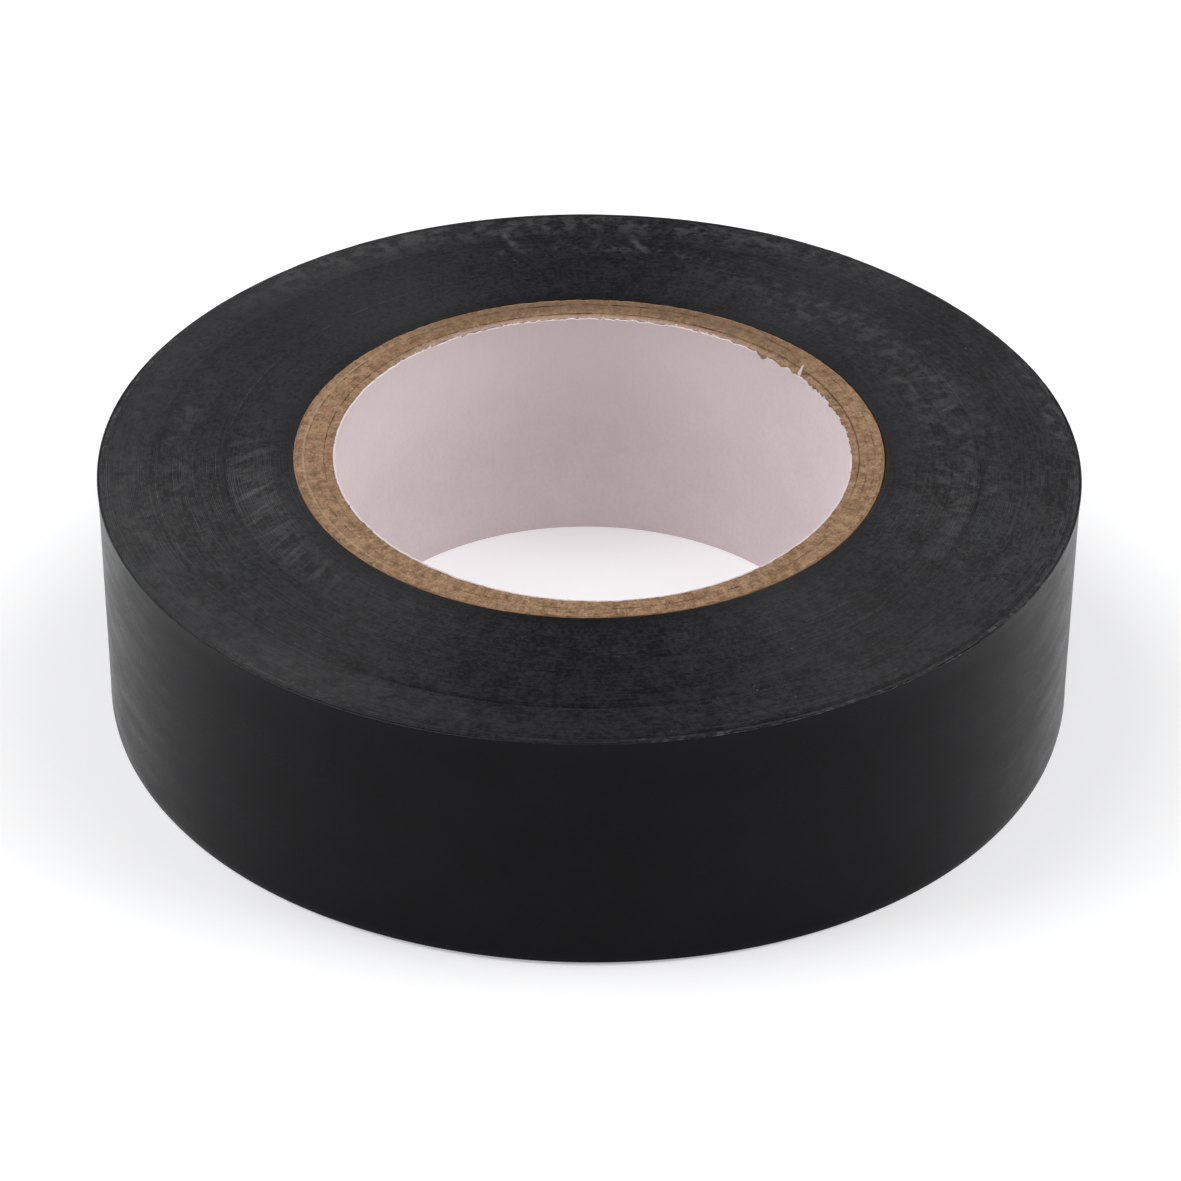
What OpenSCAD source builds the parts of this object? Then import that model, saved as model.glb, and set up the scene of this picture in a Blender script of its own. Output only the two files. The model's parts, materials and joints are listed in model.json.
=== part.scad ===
// A roll of black electrical tape on a cardboard core, in millimetres.
// The hole's axis is Z, and the roll lies on its core and its rim at z = 0.

/* [Core] */
// Radius of the hole
bore_r = 19; // [12:0.5:30]
// Thickness of the white lining paper
liner_t = 0.15; // [0.1:0.05:0.3]
// Thickness of one layer of chipboard
ply_t = 0.61; // [0.3:0.01:0.9]
// Thickness of the kraft paper around the core
facing_t = 0.11; // [0.08:0.01:0.2]
// Chamfer on the ends of each layer of the core
ply_edge = 0.05; // [0.02:0.01:0.07]

/* [Tape] */
// Width of the tape, which is the height of the roll at its rim
tape_w = 19; // [12:0.5:25]
// Thickness of the film with its adhesive
tape_t = 0.13; // [0.1:0.01:0.2]
// Turns in the band next to the core
inner_turns = 38; // [20:1:60]
// Turns in the second band
inner_middle_turns = 16; // [8:1:30]
// Turns in the third band
outer_middle_turns = 25; // [10:1:40]
// Turns in the fourth band
outer_turns = 27; // [10:1:40]
// Turns in the narrow band at the rim, under the last turn
rim_turns = 3; // [2:1:6]
// How much further each band stands up than the one around it
band_rise = 0.09; // [0:0.01:0.15]
// Chamfer on the outer edges of a band, which leaves a groove beside the next one
groove = 0.16; // [0.05:0.01:0.2]

/* [Tape end] */
// Direction in which the cut end of the tape lies, around the roll
end_azimuth = 130; // [0:5:355]
// Length of one piece of the tape end, in degrees around the roll
piece_deg = 12.5; // [8:0.5:15]
// Gap under the tape end, and between its pieces
end_gap = 0.05; // [0.03:0.01:0.1]

/* [Hidden] */
$fn = 180;

END_PIECES = 6;
PLIES = 4;
half = 180;
full = 360;

// The core's layers, from the hole outwards.
plies_r = bore_r + liner_t;
facing_r = plies_r + PLIES * ply_t;
core_r = facing_r + facing_t;

// The core is longer than the tape is wide, and stands above the tape around it.
core_top = tape_w + 4 * band_rise;

// The outer radius of each band of turns.
inner_r = core_r + inner_turns * tape_t;
inner_middle_r = inner_r + inner_middle_turns * tape_t;
outer_middle_r = inner_middle_r + outer_middle_turns * tape_t;
outer_r = outer_middle_r + outer_turns * tape_t;
rim_r = outer_r + rim_turns * tape_t;

// The last turn winds outwards by one thickness. It is two half circles, and the
// second one's centre is half a thickness to the side.
shift = tape_t / 2;
second_r = rim_r + shift;
end_r = second_r + end_gap;
gap_deg = end_gap / end_r * full / (2 * PI);
peel_deg = full - END_PIECES * piece_deg;

board = [0.60, 0.48, 0.36];
kraft = [0.62, 0.42, 0.24];
paper = [0.83, 0.79, 0.80];
film = [0.10, 0.10, 0.105];
loose_film = [0.16, 0.16, 0.165];

// A ring between two radii and two heights, with chamfered outer edges.
module ring(r_in, r_out, base, top, edge) {
    rotate_extrude()
        polygon([
            [r_in, base],
            [r_out - edge, base],
            [r_out, base + edge],
            [r_out, top - edge],
            [r_out - edge, top],
            [r_in, top]
        ]);
}

// Part of a ring of film, one tape's thickness deep, from one angle to another.
module strip(r_in, from_deg, to_deg) {
    rotate([0, 0, from_deg])
        rotate_extrude(angle = to_deg - from_deg)
            translate([r_in, 0])
                square([tape_t, tape_w]);
}

module core_ply(number) {
    color(board)
        ring(plies_r + (number - 1) * ply_t, plies_r + number * ply_t, 0, core_top, ply_edge);
}

module core_liner() {
    color(paper)
        ring(bore_r, plies_r, 0, core_top, ply_edge);
}

module core_facing() {
    color(kraft)
        ring(facing_r, core_r, 0, core_top, ply_edge);
}

// A band of turns, which stands up by a number of steps above the bands at the rim.
module band(r_in, r_out, steps) {
    base = steps * band_rise;
    color(film)
        ring(r_in, r_out, base, base + tape_w, groove);
}

module tape_inner_turns() {
    band(core_r, inner_r, 3);
}

module tape_inner_middle_turns() {
    band(inner_r, inner_middle_r, 2);
}

module tape_outer_middle_turns() {
    band(inner_middle_r, outer_middle_r, 1);
}

module tape_outer_turns() {
    band(outer_middle_r, outer_r, 0);
}

// The turns at the rim end in the step that the last turn starts from.
module tape_rim_turns() {
    wide = 2 * second_r + 1;
    color(film)
        rotate([0, 0, end_azimuth])
            difference() {
                union() {
                    intersection() {
                        cylinder(r = rim_r, h = tape_w);
                        translate([-wide / 2, 0, 0])
                            cube([wide, wide, tape_w]);
                    }
                    intersection() {
                        translate([shift, 0, 0])
                            cylinder(r = second_r, h = tape_w);
                        translate([-wide / 2, -wide, 0])
                            cube([wide, wide, tape_w]);
                    }
                }
                translate([0, 0, -1])
                    cylinder(r = outer_r, h = tape_w + 2);
            }
}

// The last turn, from its start under the cut end round to the line where it peels.
module tape_last_turn() {
    color(film)
        rotate([0, 0, end_azimuth])
            union() {
                strip(rim_r, 0, half);
                translate([shift, 0, 0])
                    strip(second_r, half, peel_deg);
            }
}

// One piece of the tape end, which is cut into short arcs so that it can bend.
module tape_end(number) {
    start = peel_deg + (number - 1) * piece_deg;
    color(loose_film)
        rotate([0, 0, end_azimuth])
            translate([shift, 0, 0])
                strip(end_r, start + gap_deg, start + piece_deg);
}

core_liner();
core_ply(1);  // core_ply_1
core_ply(2);  // core_ply_2
core_ply(3);  // core_ply_3
core_ply(4);  // core_ply_4
core_facing();
tape_inner_turns();
tape_inner_middle_turns();
tape_outer_middle_turns();
tape_outer_turns();
tape_rim_turns();
tape_last_turn();
tape_end(1);  // tape_end_1
tape_end(2);  // tape_end_2
tape_end(3);  // tape_end_3
tape_end(4);  // tape_end_4
tape_end(5);  // tape_end_5
tape_end(6);  // tape_end_6
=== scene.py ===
import json
import math

import bpy
import numpy as np
from mathutils import Matrix, Vector


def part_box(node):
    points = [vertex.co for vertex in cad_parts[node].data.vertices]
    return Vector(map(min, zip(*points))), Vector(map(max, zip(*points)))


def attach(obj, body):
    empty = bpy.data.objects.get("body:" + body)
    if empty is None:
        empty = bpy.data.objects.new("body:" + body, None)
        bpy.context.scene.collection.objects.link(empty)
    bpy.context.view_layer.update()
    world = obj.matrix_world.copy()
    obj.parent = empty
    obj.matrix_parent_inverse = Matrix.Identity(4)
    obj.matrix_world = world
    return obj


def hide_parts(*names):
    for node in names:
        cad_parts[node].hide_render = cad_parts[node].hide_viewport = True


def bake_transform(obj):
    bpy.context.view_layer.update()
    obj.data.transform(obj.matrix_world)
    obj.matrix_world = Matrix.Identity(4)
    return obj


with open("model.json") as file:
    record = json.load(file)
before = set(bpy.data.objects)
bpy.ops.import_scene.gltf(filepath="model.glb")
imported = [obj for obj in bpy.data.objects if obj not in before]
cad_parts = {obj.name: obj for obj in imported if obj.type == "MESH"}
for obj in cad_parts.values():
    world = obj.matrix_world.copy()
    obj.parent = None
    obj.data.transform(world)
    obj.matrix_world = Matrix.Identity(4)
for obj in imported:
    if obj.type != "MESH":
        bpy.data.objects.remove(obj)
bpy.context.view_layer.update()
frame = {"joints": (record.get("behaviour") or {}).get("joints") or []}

MM = 0.001
TURN = 2 * math.pi


# ---------------------------------------------------------------- how finely each piece is divided

BAND_COLUMNS = 240       # around one turn of a wound band
LAST_TURN_COLUMNS = 900  # along the last turn
END_COLUMNS = 16         # along each piece of the tape end
PLY_COLUMNS = 900        # around a layer of chipboard
FACING_COLUMNS = 720     # around the kraft paper
LINER_COLUMNS = 1080     # around the lining paper


# ---------------------------------------------------------------- sizes, in millimetres, from the frame

def outer_radius(node):
    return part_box(node)[1].x / MM


def heights(node):
    low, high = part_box(node)
    return low.z / MM, high.z / MM


PLIES = ["core_ply_1", "core_ply_2", "core_ply_3", "core_ply_4"]
END_NODES = ["tape_end_%d" % n for n in range(1, 7)]
LINER_R = outer_radius("core_liner")
FACING_R = outer_radius("core_ply_4")
CORE_R = outer_radius("core_facing")
BANDS = ["tape_inner_turns", "tape_inner_middle_turns", "tape_outer_middle_turns",
         "tape_outer_turns", "tape_rim_turns"]
BORE_R = 19.0                     # the hole's radius, as its mount states
TAPE_T = 0.13                     # the thickness of the tape
BAND_TURNS = [38, 16, 25, 27, 3]  # turns in each band
WOUND = sum(BAND_TURNS)           # turns under the last one
TAPE_W = heights("tape_outer_turns")[1] - heights("tape_outer_turns")[0]
CORE_TOP = heights("core_ply_1")[1]
RISE = CORE_TOP - TAPE_W          # how far the face rises from the rim to the core
END_AZIMUTH = math.radians(130)   # where the cut end of the tape lies
PEEL_JOINT = [j for j in frame["joints"] if j["name"] == "tape_peel"][0]
BEND_JOINTS = [PEEL_JOINT] + [j for j in frame["joints"] if j["name"] != "tape_peel"]


# ---------------------------------------------------------------- meshes

def seeded(seed):
    return np.random.default_rng(seed)


def wave(at, seed, step, size=1.0, round_to=None):
    """Smooth seeded noise along a line, one random value each step; round_to makes it repeat."""
    count = int(round(round_to / step)) if round_to else int(np.max(at) / step) + 4
    values = seeded(seed).uniform(-1, 1, count)
    place = np.asarray(at) / step
    low = np.floor(place).astype(int)
    part = place - low
    part = part * part * (3 - 2 * part)
    return size * (values[low % count] * (1 - part) + values[(low + 1) % count] * part)


def speckle(across, around, seed, step_across, step_around, size=1.0):
    """Smooth seeded noise over a surface that closes on itself around one turn."""
    rows = int(np.max(across) / step_across) + 3
    columns = max(4, int(round(TURN / step_around)))
    values = seeded(seed).uniform(-1, 1, (rows, columns))
    u, v = np.asarray(across) / step_across, (np.asarray(around) % TURN) / TURN * columns
    iu, iv = np.floor(u).astype(int), np.floor(v).astype(int)
    pu, pv = u - iu, v - iv
    pu, pv = pu * pu * (3 - 2 * pu), pv * pv * (3 - 2 * pv)
    a, b = iv % columns, (iv + 1) % columns
    low = values[iu, a] * (1 - pv) + values[iu, b] * pv
    high = values[iu + 1, a] * (1 - pv) + values[iu + 1, b] * pv
    return size * (low * (1 - pu) + high * pu)


def lobe(angle, centre_deg, half_deg):
    """1 at one direction around the roll, falling smoothly to 0 at half_deg to either side."""
    away = np.abs((np.degrees(angle) - centre_deg + 180) % 360 - 180) / half_deg
    away = np.clip(1 - away, 0, 1)
    return away * away * (3 - 2 * away)


def polar(radius, angle, z):
    return np.stack([radius * np.cos(angle), radius * np.sin(angle), z], axis=-1)


def strip_faces(a, b):
    """Quads between two rows of vertex numbers."""
    return np.stack([a[:-1], a[1:], b[1:], b[:-1]], axis=-1)


def mesh_object(name, points, faces, materials, slots=None, sharp_deg=40):
    """A mesh from millimetre points and lists of faces, smooth except at sharp edges."""
    mesh = bpy.data.meshes.new(name)
    mesh.from_pydata((np.asarray(points) * MM).tolist(), [], [list(map(int, f)) for f in faces])
    for material in materials:
        mesh.materials.append(material)
    if slots is not None:
        mesh.polygons.foreach_set("material_index", np.asarray(slots, np.int32))
    mesh.validate()
    mesh.update()
    mesh.shade_smooth()
    mesh.set_sharp_from_angle(angle=math.radians(sharp_deg))
    piece = bpy.data.objects.new(name, mesh)
    bpy.context.scene.collection.objects.link(piece)
    return piece


def revolved(name, profile, columns, material, sharp_deg=40):
    """A closed ring: profile gives, for the angles, rows of (radius, z) round the section."""
    angles = np.arange(columns) / columns * TURN
    rows = profile(angles)
    points = np.concatenate([polar(r, angles, z) for r, z in rows])
    around = np.append(np.arange(columns), 0)
    faces = [strip_faces(k * columns + around, (k + 1) % len(rows) * columns + around)
             for k in range(len(rows))]
    return mesh_object(name, points, np.concatenate(faces), [material], sharp_deg=sharp_deg)


def on_roll(piece, node=None):
    """Fixes a piece to the roll; it may stand for a node of the CAD, which is then hidden."""
    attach(piece, "roll")
    if node:
        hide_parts(node)


# ---------------------------------------------------------------- node materials

class Graph:
    """A material's node tree, with short ways to add to it."""

    def __init__(self, name):
        self.material = bpy.data.materials.new(name)
        self.material.use_nodes = True
        self.tree = self.material.node_tree
        self.shader = self.tree.nodes["Principled BSDF"]
        self._polar = None

    def node(self, kind, inputs=(), **settings):
        made = self.tree.nodes.new(kind)
        for key, value in settings.items():
            setattr(made, key, value)
        for key, value in dict(inputs).items():
            self.put(made.inputs[key], value)
        return made

    def put(self, socket, value):
        if isinstance(value, bpy.types.NodeSocket):
            self.tree.links.new(value, socket)
        else:
            socket.default_value = value

    def math(self, operation, *values):
        made = self.node("ShaderNodeMath", dict(enumerate(values)), operation=operation)
        return made.outputs[0]

    def total(self, *values):
        result = values[0]
        for value in values[1:]:
            result = self.math("ADD", result, value)
        return result

    def times(self, *values):
        result = values[0]
        for value in values[1:]:
            result = self.math("MULTIPLY", result, value)
        return result

    def ramp(self, value, low, high, to_low=0.0, to_high=1.0):
        """Maps low..high smoothly to to_low..to_high, and holds the ends."""
        made = self.node("ShaderNodeMapRange", {0: value, 1: low, 2: high, 3: to_low, 4: to_high},
                         interpolation_type="SMOOTHSTEP")
        return made.outputs[0]

    def mix(self, share, first, second):
        made = self.node("ShaderNodeMix", {0: share, 6: first, 7: second}, data_type="RGBA")
        return made.outputs[2]

    def polar(self):
        """Radius and height in millimetres, and the direction's cosine and sine."""
        if self._polar is None:
            place = self.node("ShaderNodeTexCoord").outputs["Object"]
            split = self.node("ShaderNodeSeparateXYZ", {0: place})
            x, y, z = (self.times(split.outputs[k], 1000.0) for k in range(3))
            square = self.total(self.times(x, x), self.times(y, y))
            radius = self.math("SQRT", square)
            self._polar = (radius, z, self.math("DIVIDE", x, radius),
                           self.math("DIVIDE", y, radius))
        return self._polar

    def swirled(self, swirl):
        """The direction's cosine and sine, turned by so many radians per millimetre of radius."""
        radius, _, cosine, sine = self.polar()
        turn = self.times(radius, swirl)
        c, s = self.math("COSINE", turn), self.math("SINE", turn)
        return (self.total(self.times(cosine, c), self.times(sine, s)),
                self.math("SUBTRACT", self.times(sine, c), self.times(cosine, s)))

    def noise(self, along_r, along_z, around, detail=3.0, roughness=0.5, seed=0.0, swirl=0.0):
        """Noise with so many features per millimetre of radius and height, and per radian."""
        radius, z, cosine, sine = self.polar()
        if swirl:
            cosine, sine = self.swirled(swirl)
        first = self.total(self.times(radius, along_r), self.times(z, along_z), seed)
        vector = self.node("ShaderNodeCombineXYZ",
                           {0: first, 1: self.times(cosine, around), 2: self.times(sine, around)})
        made = self.node("ShaderNodeTexNoise",
                         {"Vector": vector.outputs[0], "Scale": 1.0, "Detail": detail,
                          "Roughness": roughness})
        return made.outputs["Fac"]

    def facing(self, centre_deg, half_deg):
        """1 at one direction around the roll, falling to 0 at half_deg to either side."""
        centre = math.radians(centre_deg)
        _, _, cosine, sine = self.polar()
        toward = self.total(self.times(cosine, math.cos(centre)),
                            self.times(sine, math.sin(centre)))
        return self.ramp(toward, math.cos(math.radians(half_deg)), 1.0)

    def ring(self, centre, half):
        """1 at one radius, falling to 0 at so many millimetres to either side."""
        away = self.math("ABSOLUTE", self.math("SUBTRACT", self.polar()[0], centre))
        return self.ramp(away, half, 0.0)

    def bump(self, height, distance_mm, strength=1.0, normal=None):
        inputs = {"Height": height, "Distance": distance_mm * MM, "Strength": strength}
        if normal is not None:
            inputs["Normal"] = normal
        return self.node("ShaderNodeBump", inputs).outputs[0]

    def finish(self, colour, roughness, normal=None, specular=0.5):
        self.put(self.shader.inputs["Base Color"], colour)
        self.put(self.shader.inputs["Roughness"], roughness)
        self.shader.inputs["Specular IOR Level"].default_value = specular
        if normal is not None:
            self.put(self.shader.inputs["Normal"], normal)
        return self.material


def grey(value, blue=0.0):
    return (value, value, value + blue, 1.0)


def film_material():
    """The smooth satin side of the tape, with faint streaks along the film."""
    g = Graph("pvc_film")
    streaks = g.noise(0.0, 0.8, 7.0, detail=4.0, roughness=0.6)
    blotches = g.noise(0.0, 0.25, 7.0, detail=2.0, seed=40.0)
    fine = g.noise(0.0, 9.0, 160.0, detail=2.0, seed=80.0)
    colour = g.mix(g.ramp(blotches, 0.3, 0.7), grey(0.0010, 0.0010), grey(0.0020, 0.0014))
    roughness = g.ramp(g.total(streaks, g.times(fine, 0.6)), 0.50, 1.05, 0.26, 0.38)
    normal = g.bump(streaks, 0.005, 0.12)
    normal = g.bump(fine, 0.004, 0.5, normal)
    return g.finish(colour, roughness, normal, specular=0.10)


def slit_tone(g, seed):
    """How pale the slit edges are from place to place, with its blotches and its grain alone."""
    rings = g.noise(6.0, 0.0, 4.0, detail=3.0, seed=seed)
    clouds = g.noise(0.16, 0.0, 4.5, detail=3.0, seed=seed + 11)
    blotches = g.noise(0.55, 0.0, 17.0, detail=4.0, roughness=0.6, seed=seed + 31)
    grain = g.noise(2.6, 0.0, 75.0, detail=4.0, roughness=0.7, seed=seed + 57)
    dashes = g.noise(4.5, 0.0, 13.0, detail=3.0, roughness=0.6, seed=seed + 43)
    tone = g.total(g.times(rings, 0.15), g.times(clouds, 0.15), g.times(blotches, 0.30),
                   g.times(dashes, 0.27), g.times(grain, 0.68))
    return tone, blotches, grain


def pale_sides(g, left_shade, blotches, grain):
    """Where the face is paler: towards the left, and at the rear left."""
    inward = g.ramp(g.polar()[0], 31.9, 34.6, 0.35, 1.0)
    left = g.times(g.facing(190, 115), left_shade - 1.0, g.ramp(blotches, 0.3, 0.6, 0.4, 1.0), inward)
    rear = g.times(g.facing(138, 45), g.ramp(grain, 0.36, 0.64, 0.15, 0.85))
    return g.total(left, rear)


def brush_around(g):
    """Stretches the highlights across the turns, as fine grooves around the roll do."""
    tangent = g.node("ShaderNodeTangent", direction_type="RADIAL", axis="Z")
    g.put(g.shader.inputs["Tangent"], tangent.outputs[0])
    g.shader.inputs["Anisotropic"].default_value = 0.85
    g.shader.inputs["Anisotropic Rotation"].default_value = 0.25


def face_material(name, shade, seed, marks=(), left_shade=1.0):
    """The slit edges of many turns: matte dark grey with blotches, fine rings and scuffs, painted glints
    where its marks hold them, and a painted shadow beside the core.
    """
    g = Graph(name)
    tone, blotches, grain = slit_tone(g, seed)
    colour = g.mix(g.ramp(tone, 0.65, 0.91), grey(shade * 0.04, 0.0008), grey(shade * 3.3, 0.0026))
    pale = pale_sides(g, left_shade, blotches, grain)
    colour = g.mix(pale, colour, grey(shade * 3.2, 0.002))
    specks = g.noise(3.4, 0.0, 115.0, detail=1.0, seed=seed + 83)
    colour = g.mix(g.ramp(specks, 0.77, 0.83, 0.0, 0.7), colour, grey(0.13))
    # the marks paint scuffs, flecks and scratches, and along the rim painted glints
    for mark in marks:
        colour = g.mix(mark(g), colour, grey(0.085, 0.003))
    # painted shadow: a dark ring on the face just outside the core, where the gap beside it lies in shade
    colour = g.mix(g.times(g.ring(CORE_R + 0.4, 1.3), 0.6), colour, grey(0.0012, 0.0012))
    normal = g.bump(g.total(g.times(grain, 0.8), blotches), 0.05, 0.55)
    brush_around(g)
    return g.finish(colour, g.ramp(tone, 0.64, 0.92, 0.62, 0.43), normal, specular=0.36)


def adhesive_material():
    """The inner side of the tape: glossy, with the adhesive's uneven coat."""
    g = Graph("pvc_adhesive")
    coat = g.noise(0.0, 1.2, 60.0, detail=4.0)
    colour = g.mix(coat, grey(0.006), grey(0.011, 0.0005))
    return g.finish(colour, g.ramp(coat, 0.3, 0.7, 0.12, 0.28), g.bump(coat, 0.02, 0.6))


BOARD_DARK, BOARD_PALE = (0.187, 0.111, 0.061, 1), (0.355, 0.222, 0.130, 1)
FIBRE_DARK, FIBRE_PALE = (0.085, 0.048, 0.028, 1), (0.55, 0.42, 0.28, 1)
FIBRE_RED = (0.28, 0.12, 0.065, 1)
SPECK_DARK, SPECK_PALE = (0.075, 0.042, 0.026, 1), (0.50, 0.37, 0.24, 1)
REAR_SHADE = (0.12, 0.07, 0.045, 1)
TORN_PAPER = (0.50, 0.37, 0.33, 1)
LINE_DARK, LINE_PALE = (0.075, 0.045, 0.028, 1), (0.52, 0.41, 0.27, 1)
KRAFT_DARK, KRAFT_PALE = (0.26, 0.14, 0.075, 1), (0.43, 0.27, 0.155, 1)
PAPER_DULL, PAPER_CLEAN = (0.655, 0.575, 0.59, 1), (0.69, 0.60, 0.605, 1)
PAPER_FIBRE, PAPER_LIT = (0.56, 0.485, 0.505, 1), (0.86, 0.755, 0.77, 1)


def ply_line(number):
    """The radius at which a layer of the chipboard meets the next one."""
    return outer_radius(PLIES[number - 1])


def board_fibres(g, mottle, fibre):
    """Mottled brown with pale, dark and red fibres and specks."""
    speck = g.noise(6.0, 3.0, 130.0, detail=2.0, roughness=0.6, seed=29.0)
    red = g.noise(0.9, 0.4, 20.0, detail=2.0, seed=44.0)
    colour = g.mix(g.ramp(mottle, 0.32, 0.68), BOARD_DARK, BOARD_PALE)
    colour = g.mix(g.ramp(fibre, 0.55, 0.70, 0, 0.60), colour, FIBRE_DARK)
    colour = g.mix(g.ramp(fibre, 0.40, 0.28, 0, 0.65), colour, FIBRE_PALE)
    colour = g.mix(g.ramp(red, 0.55, 0.75, 0, 0.35), colour, FIBRE_RED)
    colour = g.mix(g.ramp(speck, 0.58, 0.68, 0, 0.50), colour, SPECK_DARK)
    return g.mix(g.ramp(speck, 0.42, 0.32, 0, 0.45), colour, SPECK_PALE)


def board_layers(g, colour, fibre):
    """Adds painted shadow over the rear of the board, the torn paper left on the inner edge, and a pale
    and a dark ply line.
    """
    # painted shadow: the rear of the board's cut end is darkened as if shaded by frayed fibres
    rear = g.times(g.facing(85, 66), g.ring(20.9, 1.9), 0.62)
    colour = g.mix(rear, colour, REAR_SHADE)
    torn = g.times(g.facing(92, 58), g.ring(BORE_R, 0.80), g.ramp(fibre, 0.3, 0.6, 0.30, 0.80))
    colour = g.mix(torn, colour, TORN_PAPER)
    pale = g.times(g.ring(ply_line(3), 0.16), g.facing(185, 95), 0.30)
    colour = g.mix(pale, colour, LINE_PALE)
    dark = g.times(g.ring(ply_line(1) + 0.08, 0.09), g.facing(18, 48), 0.75)
    return g.mix(dark, colour, LINE_DARK)


def chipboard_material():
    """The cut ends of the core's plies."""
    g = Graph("chipboard")
    mottle = g.noise(1.3, 0.2, 36.0, detail=4.0, roughness=0.65)
    fibre = g.noise(2.6, 1.5, 62.0, detail=4.0, roughness=0.7, seed=12.0)
    colour = board_layers(g, board_fibres(g, mottle, fibre), fibre)
    normal = g.bump(g.total(mottle, fibre), 0.10, 0.6)
    return g.finish(colour, 0.92, normal, specular=0.15)


def kraft_material():
    """The thin orange-brown paper around the chipboard."""
    g = Graph("kraft")
    mottle = g.noise(2.0, 0.4, 60.0, detail=3.0)
    colour = g.mix(mottle, KRAFT_DARK, KRAFT_PALE)
    return g.finish(colour, 0.85, g.bump(mottle, 0.04, 0.5), specular=0.2)


def paper_material():
    """The lining paper: a pinkish white with faint blotches and fibres, with painted light making it
    paler high up at the rear.
    """
    g = Graph("lining_paper")
    cloud = g.noise(0.0, 0.38, 6.0, detail=3.0, roughness=0.55)
    fibre = g.noise(0.0, 3.0, 60.0, detail=4.0, roughness=0.7, seed=20.0)
    colour = g.mix(g.ramp(cloud, 0.3, 0.7), PAPER_DULL, PAPER_CLEAN)
    colour = g.mix(g.ramp(fibre, 0.38, 0.66, 0.0, 0.30), colour, PAPER_FIBRE)
    # painted light: the lining is paler high up at the rear, where more light falls into the hole
    pale = g.times(g.facing(105, 80), g.ramp(g.polar()[1], 7.0, 18.0), 0.5)
    colour = g.mix(pale, colour, PAPER_LIT)
    return g.finish(colour, 0.82, g.bump(fibre, 0.02, 0.4), specular=0.2)


def card_material(name, scale, dark, pale, glow, strength, roughness, specular):
    """A pale card with a faint cloudiness, which glows a little so that it looks white."""
    g = Graph(name)
    place = g.node("ShaderNodeTexCoord").outputs["Object"]
    soft = g.node("ShaderNodeTexNoise", {"Vector": place, "Scale": scale, "Detail": 2.0})
    g.shader.inputs["Emission Color"].default_value = glow
    g.shader.inputs["Emission Strength"].default_value = strength
    colour = g.mix(soft.outputs["Fac"], grey(dark), grey(pale))
    return g.finish(colour, roughness, specular=specular)


# ---------------------------------------------------------------- scuffs on the slit face

def area(g, centre_deg, half_deg, low, high):
    """1 in the middle of a patch of the face between two radii, falling to 0 at its edges."""
    return g.times(g.facing(centre_deg, half_deg), g.ring((low + high) / 2, (high - low) / 2))


def radial_scuffs(centre_deg, half_deg, low, high, strength, threshold=0.52, seed=7.0):
    """Pale strokes that run outwards across the turns, between two radii."""
    def mark(g):
        stroke = g.noise(0.22, 0.0, 34.0, detail=4.0, roughness=0.6, seed=seed, swirl=0.02)
        where = area(g, centre_deg, half_deg, low, high)
        return g.times(g.ramp(stroke, threshold, threshold + 0.18), where, strength)
    return mark


def flecks(centre_deg, half_deg, low, high, strength, threshold=0.50, seed=7.0):
    """Soft pale patches and dots, between two radii."""
    def mark(g):
        dots = g.noise(0.95, 0.0, 30.0, detail=5.0, roughness=0.62, seed=seed)
        where = area(g, centre_deg, half_deg, low, high)
        return g.times(g.ramp(dots, threshold, threshold + 0.16), where, strength)
    return mark


def bead_glints(centre_deg, half_deg, low, high, strength):
    """Painted glints: fine bright specks where the film's roughened edge would catch the light."""
    def mark(g):
        # painted glints on the ragged edge, not a colour of the film itself
        dots = g.noise(1.5, 0.0, 42.0, detail=4.0, roughness=0.65, seed=17.0)
        where = area(g, centre_deg, half_deg, low, high)
        return g.times(g.ramp(dots, 0.49, 0.67), g.ramp(where, 0.0, 0.5), strength)
    return mark


SCRATCH_BOW = 0.35  # how far a scratch bows sideways in its middle


def scratch_line(g, start, end):
    """How far a place lies along a bowed line from its middle, how far beside it, and half its length."""
    along, half, middle = (end - start).normalized(), (end - start).length / 2, (start + end) / 2
    radius, _, cosine, sine = g.polar()
    x = g.total(g.times(radius, cosine), -middle.x)
    y = g.total(g.times(radius, sine), -middle.y)
    length = g.total(g.times(x, along.x), g.times(y, along.y))
    across = g.total(g.times(x, -along.y), g.times(y, along.x))
    share = g.math("POWER", g.times(length, 1 / half), 2.0)
    bow = g.times(g.math("SUBTRACT", 1.0, share), SCRATCH_BOW)
    return g.math("ABSOLUTE", length), g.math("ABSOLUTE", g.total(across, bow)), half


def scratch(from_polar, to_polar, width, strength):
    """One pale scratch from a radius and direction to another, broken up along its length."""
    def mark(g):
        start, end = (Vector((r * math.cos(math.radians(a)), r * math.sin(math.radians(a)), 0))
                      for r, a in (from_polar, to_polar))
        length, side, half = scratch_line(g, start, end)
        shape = g.times(g.ramp(side, width, 0.0), g.ramp(length, half, 0.3 * half))
        return g.times(shape, g.ramp(g.noise(1.2, 0.0, 40.0, detail=3.0), 0.35, 0.6), strength)
    return mark


# ---------------------------------------------------------------- the wound tape

GROOVES = [  # turn number, depth, direction and half width of where it shows, share elsewhere
    (38, 0.10, 160, 75, 0.25),
    (54, 0.10, -12, 60, 0.08),
    (79, 0.13, 262, 42, 0.25),
    (106, 0.16, -52, 55, 0.20),
]
GROOVE_WIDTH = 1.2  # half the width of a groove, in turns


def strip_radius(turn):
    return CORE_R + TAPE_T * turn


def strip_angle(turn):
    return END_AZIMUTH + TURN * turn


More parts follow.
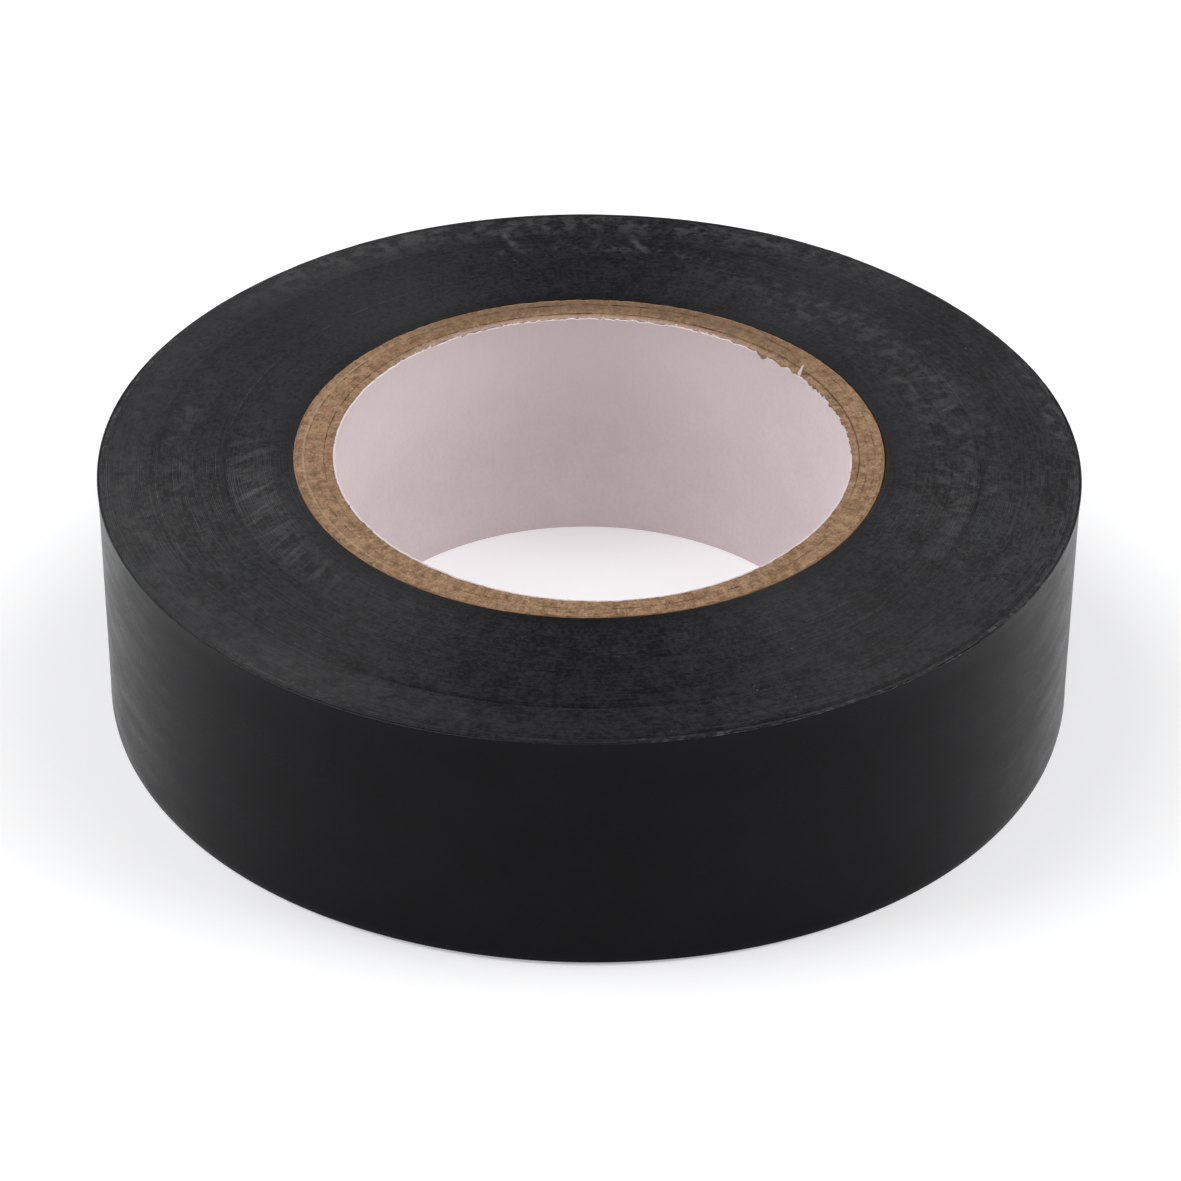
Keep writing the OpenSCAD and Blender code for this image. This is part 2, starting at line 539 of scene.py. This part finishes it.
ROUNDED_FROM = 104.0  # the turn from which the roll's corners round off
FOOT_RISES = [  # how much higher the outermost turn's lower edge lies: amount, direction, half width
    (0.27, -97, 55), (0.10, -150, 30),
]
TOP_DROPS = [   # how much lower its upper edge lies, likewise
    (0.16, 90, 120), (0.36, 30, 45), (0.26, 148, 38), (0.24, -119, 34), (0.10, -160, 60),
    (-0.16, -62, 26),
]


def rim_share(turn):
    """0 on the face, rising to 1 at the outermost turn, where the roll's corners round off."""
    return np.clip((turn - ROUNDED_FROM) / (WOUND + 1 - ROUNDED_FROM), 0, 1) ** 2


def rim_drop(turn):
    """How much the upper edge of the outermost turns lies below the face."""
    amount = sum(size * lobe(strip_angle(turn), where, half) for size, where, half in TOP_DROPS)
    return rim_share(turn) * (0.04 + amount)


def face_level(turn):
    """How far the face stands above the rim, as it rises to the core and wanders a little."""
    rise = RISE * np.clip(1 - turn / WOUND, 0, 1)
    slow = wave(turn, seed=3, step=7.0, size=0.018) + wave(turn, seed=4, step=0.9, size=0.004)
    fine = wave(turn, seed=5, step=0.13, size=0.004) + wave(turn, seed=8, step=0.021, size=0.004)
    return rise + slow + fine


def strip_base(turn):
    """How high the strip's lower edge lies, as it winds outwards."""
    foot = 0.03 + sum(size * lobe(strip_angle(turn), at, half) for size, at, half in FOOT_RISES)
    return np.maximum(face_level(turn) + 0.01, 0.0) + foot * rim_share(turn)


def face_height(turn):
    """The height of the strip's upper edge, before its grooves."""
    return TAPE_W + face_level(turn) - rim_drop(turn)


def groove_drop(turn):
    """How much lower the edge lies near a groove between two bands."""
    angle = strip_angle(turn)
    drop = np.zeros_like(turn)
    for at, depth, centre, half, rest in GROOVES:
        share = rest + (1 - rest) * lobe(angle, centre, half)
        drop += depth * share * np.exp(-((turn + 0.5 - at) / GROOVE_WIDTH) ** 2)
    return drop


STATIONS = [0.0, 0.3, 0.7]  # shares of the tape's thickness where its edge has a line of points


def edge_heights(turn, fraction):
    """The lower and upper edges of the strip at a turn, fraction of its thickness outwards."""
    crease = np.interp(fraction, [0, 0.3, 0.7, 1], [1, 0, 0, 1])
    crease = crease * (0.009 + wave(turn, seed=6, step=0.4, size=0.007))
    drop = groove_drop(turn) + crease
    return strip_base(turn) + drop * 0.5, face_height(turn) - drop


def band_lines(first, turns, columns):
    """Points of the strip's lower and upper edge lines, and their numbers by side and station."""
    steps = turns * columns
    lines = np.arange(steps + columns + 1)
    points, index, count = [], {}, 0
    for side in (0, 1):
        for k, fraction in enumerate(STATIONS):
            used = lines if k == 0 else lines[:steps + 1]
            turn = first + used / columns
            z = edge_heights(turn, fraction)[side]
            points.append(polar(strip_radius(turn + fraction), strip_angle(turn), z))
            index[side, k] = count + used
            count += len(used)
    return np.concatenate(points), index


def band_edges(index, steps, columns):
    """Faces of the strip's lower and upper edges, which make up the band's two slit faces."""
    faces = []
    for side in (0, 1):
        rows = [index[side, 0][:steps + 1], index[side, 1], index[side, 2],
                index[side, 0][columns:]]
        for a, b in zip(rows, rows[1:]):
            quads = strip_faces(a, b)
            faces.append(quads if side == 0 else quads[:, ::-1])
    return [list(f) for f in np.concatenate(faces)]


def band_walls(index, steps, columns):
    """Faces of the band's inner and outer walls, and of the step at each end of its spiral."""
    low, high = index[0, 0], index[1, 0]
    inner = strip_faces(low[:columns + 1], high[:columns + 1])[:, ::-1]
    outer = strip_faces(low[steps:], high[steps:])
    faces = [list(f) for f in np.concatenate([inner, outer])]
    for at in (0, steps):
        cap = [index[0, 0][at], index[0, 1][at], index[0, 2][at], low[at + columns],
               high[at + columns], index[1, 2][at], index[1, 1][at], index[1, 0][at]]
        faces.append(cap if at == 0 else cap[::-1])
    return faces


def wound_band(name, first, turns, face, film):
    """The strip wound for so many turns, as one closed mesh whose faces follow each turn."""
    points, index = band_lines(first, turns, BAND_COLUMNS)
    edges = band_edges(index, turns * BAND_COLUMNS, BAND_COLUMNS)
    walls = band_walls(index, turns * BAND_COLUMNS, BAND_COLUMNS)
    return mesh_object(name, points, edges + walls, [face, film],
                       [0] * len(edges) + [1] * len(walls))


FOOT_SPREAD = 0.16  # how far the wall spreads at its foot, at the front right
LIP = 0.03          # how far the rim's upper edge flares out
WAIST = 0.03        # how far the wall is drawn in below it


def wall_inset(height):
    """How far the outer wall stands in from the strip's radius, at a height above its base."""
    down = TAPE_W - height
    lip = LIP * np.exp(-(down / 0.45) ** 2)
    waist = WAIST * (1 - np.exp(-(down / 1.0) ** 2)) * (1 - np.exp(-(height / 0.8) ** 2))
    foot = 0.07 * np.exp(-(height / 0.25) ** 2)
    return waist + foot - lip


def film_waves(angle, height):
    """Faint undulation of the outermost film, in millimetres."""
    broad = speckle(height, angle, seed=21, step_across=6.0, step_around=math.radians(16), size=0.012)
    small = speckle(height, angle, seed=22, step_across=2.2, step_around=math.radians(5), size=0.004)
    return broad + small


def ragged_lip(angle):
    """Small nicks and beads along the rim's upper edge, mostly at the front right."""
    around = TURN * strip_radius(WOUND)
    place = (angle % TURN) * strip_radius(WOUND)
    amount = 0.010 + 0.080 * lobe(angle, -52, 36) + 0.02 * lobe(angle, 20, 60)
    grain = (wave(place, seed=31, step=0.42, size=0.5, round_to=around)
             + wave(place, seed=32, step=1.7, size=0.8, round_to=around))
    return amount * np.clip(grain, -0.6, 1)


Z_ROWS = np.array([0.0, 0.12, 0.35, 0.8, 1.6, 3.5, 6.5, 9.5,
                   12.5, 15.5, 17.2, 18.2, 18.6, 18.85, 19.0])  # heights of the film's rows of points
LIP_FADE = 40              # how sharply the ragged lip fades below the edge
INNER_SHARE = 0.95         # how much of its thickness the film has, so that it clears the turn inside
OUTER, CUT, INNER = 0, 1, 2  # the material slots of a film strip


def strip_section(turn, lift, lay):
    """Rows of (radius, z) round the strip's section: up its outer side and down its inner side."""
    angle, base = strip_angle(turn), strip_base(turn)
    raised = lay + (lift(turn) if lift else 0)
    top = face_height(turn) - groove_drop(turn)
    rag = ragged_lip(angle)
    outer = []
    for share in Z_ROWS / Z_ROWS[-1]:
        height = share * TAPE_W
        z = base + share * (top - base) + rag * share ** LIP_FADE
        radius = strip_radius(turn + 1) + raised - wall_inset(height) + film_waves(angle, height)
        radius = radius + FOOT_SPREAD * lobe(angle, -42, 42) * (1 - share)
        outer.append((radius, z))
    inner = [(radius - TAPE_T * INNER_SHARE, z) for radius, z in outer]
    return outer + inner[::-1]


def strip_sides(count, size):
    """Faces along the strip between the rows of its section, and their material slots."""
    top, foot = count // 2 - 1, count - 1
    faces, slots = [], []
    for k in range(count):
        a = k * size + np.arange(size)
        b = (k + 1) % count * size + np.arange(size)
        faces.append(strip_faces(a, b))
        slot = CUT if k in (top, foot) else OUTER if k < top else INNER
        slots.extend([slot] * (size - 1))
    return [list(f) for f in np.concatenate(faces)], slots


def strip_ends(count, size):
    """Faces across the strip's two ends."""
    faces = []
    for at in (0, size - 1):
        for k in range(count // 2 - 1):
            quad = [k * size + at, (k + 1) * size + at,
                    (count - 2 - k) * size + at, (count - 1 - k) * size + at]
            faces.append(quad if at == 0 else quad[::-1])
    return faces


def film_strip(name, first, last, columns, materials, lift=None, lay=0.0):
    """A stretch of one layer of tape, closed, with its outer and inner sides and cut edges."""
    turn = np.linspace(first, last, columns + 1)
    section = strip_section(turn, lift, lay)
    points = np.concatenate([polar(radius, strip_angle(turn), z) for radius, z in section])
    sides, slots = strip_sides(len(section), columns + 1)
    ends = strip_ends(len(section), columns + 1)
    return mesh_object(name, points, sides + ends, materials, slots + [CUT] * len(ends))


def band_marks():
    """The scuffs, flecks and scratches of each band, and the rim's painted glints, from the core
    outwards.
    """
    inner = [radial_scuffs(200, 34, 22.2, 28.0, 0.52, 0.50), flecks(25, 60, 23.0, 28.5, 0.32),
             flecks(195, 45, 21.8, 27.0, 0.18)]
    inner_middle = [flecks(22, 68, 25.0, 30.5, 0.34, 0.46), radial_scuffs(10, 50, 25.5, 29.5, 0.32),
                    scratch((33.4, 84.5), (29.3, 80.4), 0.5, 0.5)]
    outer_middle = [flecks(10, 60, 28.0, 31.5, 0.30), flecks(190, 40, 28.6, 32.0, 0.35),
                    scratch((34.6, 102.0), (29.1, 99.6), 0.55, 0.6),
                    scratch((33.1, 84.5), (29.3, 80.4), 0.5, 0.6), flecks(85, 30, 28.5, 32.0, 0.40)]
    outer = [scratch((34.6, 102.0), (29.1, 99.6), 0.55, 0.7), flecks(205, 80, 31.9, 36.2, 0.16, 0.44),
             scratch((33.1, 84.5), (29.3, 80.4), 0.5, 0.6), flecks(95, 60, 31.5, 37.5, 0.45, 0.44),
             flecks(15, 25, 33.5, 36.5, 0.40)]
    # the rim's bright beads are painted glints along its ragged edge
    rim = [bead_glints(-52, 40, 35, 36.3, 0.6), bead_glints(18, 32, 35.0, 36.3, 0.7),
           bead_glints(158, 30, 35.0, 36.3, 0.8), flecks(20, 32, 35.0, 36.3, 0.5)]
    return [inner, inner_middle, outer_middle, outer, rim]


BAND_SEEDS = [1.0, 14.0, 23.0, 37.0, 52.0]
BAND_SHADES = [0.0054, 0.0052, 0.0052, 0.0064, 0.0080]
BAND_LEFTS = [1.0, 1.0, 1.1, 1.6, 1.6]  # how pale each band's left side is; 1 is like the rest


def make_bands(film):
    first = 0
    looks = zip(BANDS, BAND_TURNS, BAND_SHADES, BAND_SEEDS, band_marks(), BAND_LEFTS)
    for node, turns, shade, seed, marks, left in looks:
        face = face_material("slit_face_" + node, shade, seed, marks, left)
        band = wound_band(node.replace("tape_", "wound_"), first, turns, face, film)
        on_roll(band, node)
        first += turns


def joint_turn(joint):
    """The turn number at which a joint's axis crosses the strip."""
    x, y, _ = joint["pos_m"]
    part = (math.atan2(y, x) - END_AZIMUTH) % TURN / TURN
    return WOUND + part


CUT_TURN = WOUND + 1 - 0.0006  # the cut end; just short of a whole turn
LAY = 0.02                     # the gap under the tape end
TIP_LIFT = 0.015               # how far the cut end stands off the roll
TIP_TURNS = 0.035              # over what length it does so, in turns


def end_lift(turn):
    """The cut end stands off the roll very slightly."""
    return TIP_LIFT * np.clip((turn - (CUT_TURN - TIP_TURNS)) / TIP_TURNS, 0, 1) ** 2


def make_last_turn(materials):
    peel = joint_turn(PEEL_JOINT)
    last = film_strip("last_turn", WOUND, peel, LAST_TURN_COLUMNS, materials)
    on_roll(last, "tape_last_turn")


FOLD = 0.6                # how soon the film has left the roll, in half spaces between hinges
REACH = 1 + math.sqrt(3)  # how far each later hinge bends the film, likewise; it peels off straight


def end_pieces():
    """The pieces of the tape end: where each starts and stops, its hinge, and how far that bends it."""
    hinges = [joint_turn(j) for j in BEND_JOINTS]
    half = (hinges[1] - hinges[0]) / 2
    fold = FOLD * half
    pieces = [
        (hinges[0], hinges[0] + fold, 0, fold),
        (hinges[0] + fold, hinges[1], 1, 2 * half - fold),
        (hinges[1], hinges[1] + half, 1, REACH * half),
    ]
    for n, hinge in enumerate(hinges[2:-1], start=2):
        pieces.append((hinge - half, hinge + half, n, REACH * half))
    pieces.append((hinges[-1] - half, CUT_TURN, len(hinges) - 1, REACH * half))
    return hinges, pieces


def make_tape_end(materials):
    """The tape end, in pieces laid along the roll, each around one hinge, in place of the CAD's tape end
    nodes.
    """
    hinges, pieces = end_pieces()
    shown = set()
    for k, (first, last, n, reach) in enumerate(pieces, start=1):
        piece = film_strip("tape_end_strip_%d" % k, first, last, END_COLUMNS, materials, end_lift, LAY)
        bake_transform(piece)
        if n not in shown:
            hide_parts(END_NODES[n])
        shown.add(n)


# ---------------------------------------------------------------- the core

LEAN_DEPTH = 1.3  # how far down the core's upper end leans
LEANS = [         # how far outwards it leans: amount, direction, half width
    (0.55, -80, 54), (0.20, -20, 70), (-0.36, 180, 80), (-0.10, 95, 60),
]


def lean(radius, angle):
    """How far the core's upper end leans outwards; it fades to nothing at its outer face."""
    share = np.clip((CORE_R - radius) / (CORE_R - BORE_R), 0, 1)
    return share * sum(size * lobe(angle, where, half) for size, where, half in LEANS)


def fuzz(radius, angle):
    """How far torn fibres overhang the hole, along the chipboard's inner edge."""
    around = TURN * BORE_R
    place = (angle % TURN) * BORE_R
    amount = (0.03 + 0.10 * lobe(angle, 112, 70) + 0.12 * lobe(angle, 20, 45)
              + 0.10 * lobe(angle, 185, 50))
    tufts = (wave(place, seed=97, step=0.45, size=1.0, round_to=around)
             + wave(place, seed=98, step=0.17, size=0.6, round_to=around))
    share = np.clip((LINER_R + 0.05 - radius) / 0.05, 0, 1)
    return amount * np.clip(tufts, -0.2, 1) * share


PLY_SHARES = [0.0, 0.06, 0.2, 0.4, 0.6, 0.8, 0.94, 1.0]  # where a ply's end has a row of points
PLY_ROUNDING = [0.022, 0.008, 0.0, 0.0, 0.0, 0.0, 0.008, 0.022]
PLY_SHIFTS = [-0.03, 0.02, 0.0, 0.03]  # how much higher or lower each ply was cut
PLY_INSET = 0.02   # how far a ply's ends lie inside the core's length
FOOT_INSET = 0.07  # and how much further its lower end does


def ply_roughness(angles, share, seed):
    """How rough a ply's cut end is, in two sizes of grain."""
    across = np.full_like(angles, share * 3)
    fine = speckle(across, angles, seed, step_across=0.6, step_around=math.radians(1.1), size=0.035)
    broad = speckle(across, angles, seed + 5, step_across=0.4, step_around=math.radians(3.7), size=0.030)
    return fine + broad


def ply_end(angles, r_in, r_out, seed, side, level):
    """Rows of points over a ply's upper end (side 1) or its lower end (side -1)."""
    rows = []
    for share, rounding in zip(PLY_SHARES, PLY_ROUNDING):
        rough = ply_roughness(angles, share, seed + side)
        z = level + side * (rough - rounding - PLY_INSET)
        r = r_in + (r_out - r_in) * share + np.zeros_like(angles)
        if side > 0:
            r = r + lean(r, angles) - fuzz(r, angles)
        rows.append((r, z))
    return rows


def ply_profile(r_in, r_out, seed, top_shift):
    """The section of a ply, with a rough cut end whose edges are rounded off."""
    def profile(angles):
        zero = np.zeros_like(angles)
        top = ply_end(angles, r_in, r_out, seed, 1, CORE_TOP + top_shift)
        foot = ply_end(angles, r_in, r_out, seed, -1, FOOT_INSET)
        waist = CORE_TOP - LEAN_DEPTH + zero
        return top[::-1] + [(r_in + zero, waist)] + foot + [(r_out + zero, waist)]
    return profile


def make_plies(material):
    inner = LINER_R
    for n, (node, shift) in enumerate(zip(PLIES, PLY_SHIFTS)):
        profile = ply_profile(inner, outer_radius(node), 60 + 20 * n, shift)
        ply = revolved(node.replace("core_ply", "chipboard_ply"), profile, PLY_COLUMNS, material)
        on_roll(ply, node)
        inner = outer_radius(node)


def make_facing(material):
    profile = ply_profile(FACING_R, CORE_R, 170, 0.01)
    facing = revolved("kraft_facing", profile, FACING_COLUMNS, material)
    on_roll(facing, "core_facing")


def tear(angles):
    """How far the lining's upper edge is torn down, around the hole."""
    place = (angles % TURN) * BORE_R
    around = TURN * BORE_R
    amount = 0.05 + 0.08 * lobe(angles, 95, 75) + 0.16 * lobe(angles, 28, 45)
    rag = (np.abs(wave(place, seed=91, step=0.55, size=1.0, round_to=around))
           + 0.5 * np.abs(wave(place, seed=92, step=0.2, size=1.0, round_to=around)))
    nick = 0.42 * lobe(angles, 46.4, 2.2) + 0.15 * lobe(angles, 41, 2.5)
    return amount * rag + nick


LINER_FOOT = 0.04     # how far the lining stops above the core's foot
LINER_SHARES = [0.0, 0.02, 0.25, 0.5, 0.75, 0.92, 0.96, 1.0]  # its rows of points
LINER_BENDS = 0.93    # the share of its height from which it leans with the core


def liner_profile(angles):
    """The section of the lining paper, with its torn upper edge."""
    top = CORE_TOP - 0.03 - tear(angles)
    bulge = speckle(np.full_like(angles, 1.0), angles, seed=95, step_across=4.0,
                    step_around=math.radians(15), size=0.008)
    inner, outer = [], []
    for share in LINER_SHARES:
        z = LINER_FOOT + share * (top - LINER_FOOT)
        bend = lean(np.full_like(angles, BORE_R), angles)
        bend = bend * max(0, share - LINER_BENDS) / (1 - LINER_BENDS)
        inner.append((BORE_R + bulge * share * (1 - share) + bend, z))
        outer.append((LINER_R + bend * 0.98, z))
    lip = [((inner[-1][0] + outer[-1][0]) / 2, top + 0.02)]
    return outer + lip + inner[::-1]


def make_liner(material):
    liner = revolved("lining_paper", liner_profile, LINER_COLUMNS, material, sharp_deg=50)
    on_roll(liner, "core_liner")


FLAKE_ROWS, FLAKE_ACROSS = 5, 4  # how many faces a flap has upwards and across
FLAKE_T = 0.05                   # its thickness
FLAKE_COUNT = 34                 # how many small flaps there are
TALL_FLAKE = (34.4, 0.4, 0.90, 0.50, 1)  # the one that stands up at the right rear


def flake_sheet(angle_deg, width, height, out, seed):
    """Rows of (radius, angle, z) of a torn flap of paper that stands on the lining's edge."""
    angle = math.radians(angle_deg)
    base = CORE_TOP - 0.18 - float(tear(np.array([angle]))[0]) * 0.6
    root = BORE_R + 0.06 + float(lean(BORE_R, np.array(angle)))
    jitter = seeded(seed).uniform(-0.12, 0.12, (FLAKE_ROWS + 1, FLAKE_ACROSS + 1))
    points = []
    for k, row in enumerate(jitter):
        up = k / FLAKE_ROWS
        narrow = width * (1 - up) ** 0.7 + 0.04
        for m, shake in enumerate(row):
            side = (m / FLAKE_ACROSS - 0.5) * narrow + shake * narrow * up
            points.append((root + out * up ** 1.5, angle + side / BORE_R,
                           base + height * up + shake * 0.1))
    return np.array(points)


def flake_faces(start, size):
    """Faces of one flap's two sides and its rim, from its first point's number."""
    at = start + np.arange(size).reshape(FLAKE_ROWS + 1, FLAKE_ACROSS + 1)
    faces = []
    for k in range(FLAKE_ROWS):
        for m in range(FLAKE_ACROSS):
            quad = [at[k, m], at[k + 1, m], at[k + 1, m + 1], at[k, m + 1]]
            faces.append(quad)
            faces.append([q + size for q in quad][::-1])
    rim = [*at[:, 0], *at[-1, 1:], *at[-2::-1, -1], *at[0, -2:0:-1]]
    faces.extend([a, a + size, b + size, b] for a, b in zip(rim, rim[1:] + rim[:1]))
    return faces


def make_flakes(material):
    """Little torn flaps along the lining's edge, with one tall one at the right rear."""
    dice = seeded(5)
    flakes = [TALL_FLAKE]
    for n in range(FLAKE_COUNT):
        flakes.append((dice.uniform(8, 150), dice.uniform(0.15, 0.5), dice.uniform(0.12, 0.34),
                       dice.uniform(-0.08, 0.10), 10 + n))
    points, faces = [], []
    for spec in flakes:
        sheet = flake_sheet(*spec)
        faces.extend(flake_faces(len(points), len(sheet)))
        for thick in (0.0, FLAKE_T):
            points.extend(polar(sheet[:, 0] + thick, sheet[:, 1], sheet[:, 2]).tolist())
    on_roll(mesh_object("lining_flakes", points, faces, [material]))


# ---------------------------------------------------------------- stage, light and camera

FLOOR_HALF, FLOOR_STEPS = 3.0, 8           # metres from the middle to each side; squares across
BACKDROP_R, BACKDROP_TOP = 0.98, 0.9       # its radius and height in metres
BACKDROP_CURVE, BACKDROP_COLUMNS = 0.30, 96  # the radius of the sweep at its foot; faces around


def stage_piece(name, points, faces, material):
    """A piece of the stage, from points in metres."""
    mesh = bpy.data.meshes.new(name)
    mesh.from_pydata(np.asarray(points).tolist(), [], np.asarray(faces).tolist())
    mesh.materials.append(material)
    mesh.shade_smooth()
    piece = bpy.data.objects.new(name, mesh)
    bpy.context.scene.collection.objects.link(piece)
    return piece


def make_floor():
    line = np.linspace(-FLOOR_HALF, FLOOR_HALF, FLOOR_STEPS + 1)
    x, y = np.meshgrid(line, line)
    points = np.stack([x.ravel(), y.ravel(), np.zeros(x.size)], axis=1)
    at = np.arange(x.size).reshape(x.shape)
    faces = np.concatenate([strip_faces(a, b)[:, ::-1] for a, b in zip(at[1:], at[:-1])])
    material = card_material("floor_card", scale=3.0, dark=0.78, pale=0.80, strength=0.34,
                             glow=(0.97, 0.97, 1.0, 1), roughness=0.9, specular=0.1)
    stage_piece("floor", points, faces, material)


def make_backdrop():
    """A low round wall behind the floor, seen by the camera but adding no light of its own."""
    arc = np.linspace(0, math.pi / 2, 9)
    radii = np.append(BACKDROP_R - BACKDROP_CURVE + BACKDROP_CURVE * np.sin(arc), BACKDROP_R)
    levels = np.append(0.001 + BACKDROP_CURVE * (1 - np.cos(arc)), BACKDROP_TOP)
    angles = np.arange(BACKDROP_COLUMNS + 1) / BACKDROP_COLUMNS * TURN
    points = np.concatenate([polar(np.full_like(angles, r), angles, np.full_like(angles, z))
                             for r, z in zip(radii, levels)])
    rows = np.arange(len(points)).reshape(len(radii), len(angles))
    faces = np.concatenate([strip_faces(a, b) for a, b in zip(rows, rows[1:])])
    material = card_material("backdrop_card", scale=1.5, dark=0.80, pale=0.84, strength=1.0,
                             glow=(1.0, 1.0, 1.0, 1), roughness=0.95, specular=0.05)
    backdrop = stage_piece("backdrop", points, faces, material)
    backdrop.visible_diffuse = backdrop.visible_glossy = backdrop.visible_shadow = False


LAMPS = [  # name, place and size in metres, watts
    ("left_box", (-0.80, -0.10, 0.50), (0.5, 0.7), 2.9),
    ("right_box", (0.80, -0.10, 0.50), (0.5, 0.7), 2.9),
    ("left_rear_box", (-0.62, 0.60, 0.42), (0.45, 0.6), 2.3),
    ("right_rear_box", (0.62, 0.60, 0.42), (0.45, 0.6), 1.8),
    ("front_box", (0.0, -0.90, 0.50), (0.6, 0.5), 0.7),
    ("left_high_box", (-0.50, 0.0, 0.85), (0.45, 0.6), 2.7),
    ("right_high_box", (0.50, 0.0, 0.85), (0.45, 0.6), 2.5),
]
WORLD_STRENGTH = 0.16


def area_light(name, place, size, power):
    """A soft box that faces the roll."""
    light = bpy.data.lights.new(name, "AREA")
    light.shape = "RECTANGLE"
    light.size, light.size_y = size
    light.energy = power
    lamp = bpy.data.objects.new(name, light)
    lamp.location = place
    lamp.rotation_euler = (-Vector(place)).to_track_quat("-Z", "Y").to_euler()
    bpy.context.scene.collection.objects.link(lamp)


def make_light():
    world = bpy.data.worlds.new("studio")
    bpy.context.scene.world = world
    world.use_nodes = True
    back = world.node_tree.nodes["Background"]
    back.inputs["Color"].default_value = (1.0, 1.0, 1.0, 1)
    back.inputs["Strength"].default_value = WORLD_STRENGTH
    for lamp in LAMPS:
        area_light(*lamp)


SENSOR, LENS = 36.0, 133.575           # millimetres
DISTANCE = 9.1 * 0.036                 # metres from the middle of the roll, 9.1 of its radii
ELEVATION, ROLL = math.radians(33.9), math.radians(0.37)
SHIFT_X, SHIFT_Y = 0.00186, -0.02489   # as shares of the frame's width


def make_camera():
    data = bpy.data.cameras.new("camera")
    data.sensor_width, data.lens = SENSOR, LENS
    data.shift_x, data.shift_y = SHIFT_X, SHIFT_Y
    data.clip_start, data.clip_end = 0.01, 20
    camera = bpy.data.objects.new("camera", data)
    back = Vector((0, -math.cos(ELEVATION), math.sin(ELEVATION)))
    middle = Vector((0, 0, TAPE_W / 2 * MM))
    turn = (-back).to_track_quat("-Z", "Y").to_matrix().to_4x4() @ Matrix.Rotation(ROLL, 4, "Z")
    camera.matrix_world = Matrix.Translation(middle + back * DISTANCE) @ turn
    bpy.context.scene.collection.objects.link(camera)
    bpy.context.scene.camera = camera


# ---------------------------------------------------------------- build

make_camera()
make_floor()
make_backdrop()
make_light()
bpy.context.scene.view_settings.view_transform = "Standard"

film = film_material()
# painted glints along the ragged rim of the last turn's cut face
rim_bead_glints = bead_glints(-54, 36, 35, 36.6, 0.9)
cut_face = face_material("slit_face_outer", 0.0075, 70.0, [rim_bead_glints], left_shade=1.5)
film_sides = [film, cut_face, adhesive_material()]
make_bands(film)
make_last_turn(film_sides)
make_tape_end(film_sides)
make_plies(chipboard_material())
make_facing(kraft_material())
paper = paper_material()
make_liner(paper)
make_flakes(paper)
